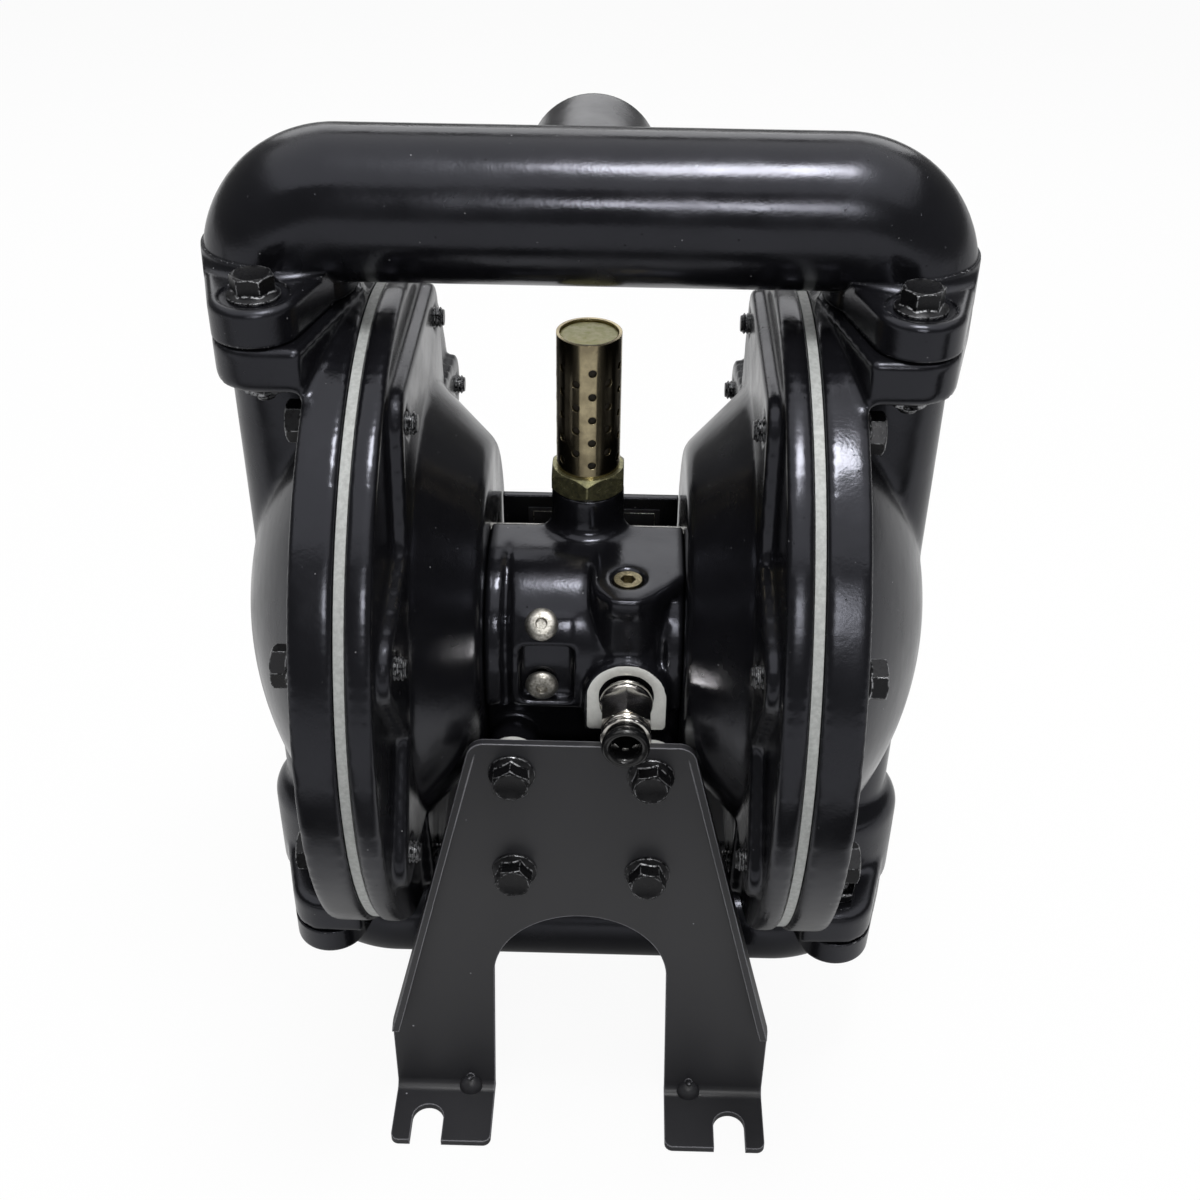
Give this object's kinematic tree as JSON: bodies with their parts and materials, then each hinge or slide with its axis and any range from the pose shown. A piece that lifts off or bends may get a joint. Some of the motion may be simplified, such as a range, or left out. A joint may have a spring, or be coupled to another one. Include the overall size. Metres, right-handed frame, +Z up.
{
  "type": "air-operated double diaphragm pump",
  "caption": "Air-driven double diaphragm pump in black castings: two round chambers on one shaft, check-valve manifolds above and below, muffler, air inlet and slotted feet.",
  "frame": {"origin": "on the ground, below the point where the shaft crosses the middle plane", "axes": "+X along the shaft to the right chamber, -Y towards the air inlet, +Z up"},
  "size_m": [0.271, 0.256, 0.4129],
  "materials": {
    "black_casting": "semi-gloss black paint on cast aluminium",
    "black_sheet": "satin black paint on bent steel sheet",
    "dark_zinc": "black zinc plated steel",
    "white_membrane": "matte",
    "ball": "smooth matte",
    "bright_steel": "turned",
    "seal_rubber": "matte",
    "bush_plastic": "matte",
    "bare_aluminium": "machined",
    "yellow_zinc": "bright yellow zinc plate",
    "muffler_top": "olive yellow, satin",
    "nickel": "bright nickel plate",
    "black_plastic": "gloss"
  },
  "bodies": {
    "pump_body": {"centre_body": "black_casting", "left_air_cap": "black_casting", "right_air_cap": "black_casting", "left_fluid_cap": "black_casting", "right_fluid_cap": "black_casting", "outlet_manifold": "black_casting", "inlet_manifold": "black_casting", "left_diaphragm": "white_membrane", "right_diaphragm": "white_membrane", "left_bush": "bush_plastic", "right_bush": "bush_plastic", "left_shaft_seal": "seal_rubber", "right_shaft_seal": "seal_rubber", "left_outlet_seat": "bright_steel", "right_outlet_seat": "bright_steel", "left_inlet_seat": "bright_steel", "right_inlet_seat": "bright_steel", "left_outlet_gasket": "seal_rubber", "right_outlet_gasket": "seal_rubber", "left_inlet_gasket": "seal_rubber", "right_inlet_gasket": "seal_rubber", "valve_sleeve": "bare_aluminium", "left_valve_end_plug": "bare_aluminium", "right_valve_end_plug": "bare_aluminium", "rear_cover": "black_casting", "cover_screws": "bright_steel", "bare_plate": "bare_aluminium", "button_screws": "bright_steel", "passage_plug": "bright_steel", "muffler_hex": "yellow_zinc", "muffler_shell": "yellow_zinc", "muffler_disc": "muffler_top", "muffler_element": "bush_plastic", "air_fitting": "nickel", "front_bracket": "black_sheet", "rear_bracket": "black_sheet", "front_bracket_bolts": "dark_zinc", "rear_bracket_bolts": "dark_zinc", "left_flange_bolts": "dark_zinc", "right_flange_bolts": "dark_zinc", "outlet_bolts": "dark_zinc", "outlet_nuts": "dark_zinc", "inlet_bolts": "dark_zinc", "inlet_nuts": "dark_zinc"},
    "shaft_group": {"shaft": "bright_steel", "left_inner_plate": "bare_aluminium", "right_inner_plate": "bare_aluminium", "left_outer_plate": "bare_aluminium", "right_outer_plate": "bare_aluminium"},
    "left_outlet_ball_body": {"left_outlet_ball": "ball"},
    "right_outlet_ball_body": {"right_outlet_ball": "ball"},
    "left_inlet_ball_body": {"left_inlet_ball": "ball"},
    "right_inlet_ball_body": {"right_inlet_ball": "ball"},
    "spool_body": {"valve_spool": "bare_aluminium"},
    "pilot_body": {"pilot_rod": "bright_steel"},
    "collet_body": {"release_collet": "black_plastic"}
  },
  "joints": [
    {"name": "shaft_stroke", "type": "slide", "parent": "pump_body", "child": "shaft_group", "axis": [1, 0, 0], "range_m": [-0.012, 0.012], "deforming": ["left_diaphragm", "right_diaphragm"]},
    {"name": "pilot_stroke", "type": "slide", "parent": "pump_body", "child": "pilot_body", "axis": [1, 0, 0], "range_m": [-0.003, 0.003]},
    {"name": "spool_stroke", "type": "slide", "parent": "pump_body", "child": "spool_body", "axis": [1, 0, 0], "range_m": [-0.004, 0.004]},
    {"name": "collet_press", "type": "slide", "parent": "pump_body", "child": "collet_body", "axis": [0, 1, 0], "range_m": [0, 0.0015]},
    {"name": "left_outlet_ball_lift", "type": "slide", "parent": "pump_body", "child": "left_outlet_ball_body", "axis": [0, 0, 1], "range_m": [0, 0.008]},
    {"name": "right_outlet_ball_lift", "type": "slide", "parent": "pump_body", "child": "right_outlet_ball_body", "axis": [0, 0, 1], "range_m": [0, 0.008]},
    {"name": "left_inlet_ball_lift", "type": "slide", "parent": "pump_body", "child": "left_inlet_ball_body", "axis": [0, 0, 1], "range_m": [0, 0.008]},
    {"name": "right_inlet_ball_lift", "type": "slide", "parent": "pump_body", "child": "right_inlet_ball_body", "axis": [0, 0, 1], "range_m": [0, 0.008]}
  ],
  "couplings": [
    {"joint": "pilot_stroke", "follows": "shaft_stroke", "ratio": 0.25}
  ]
}
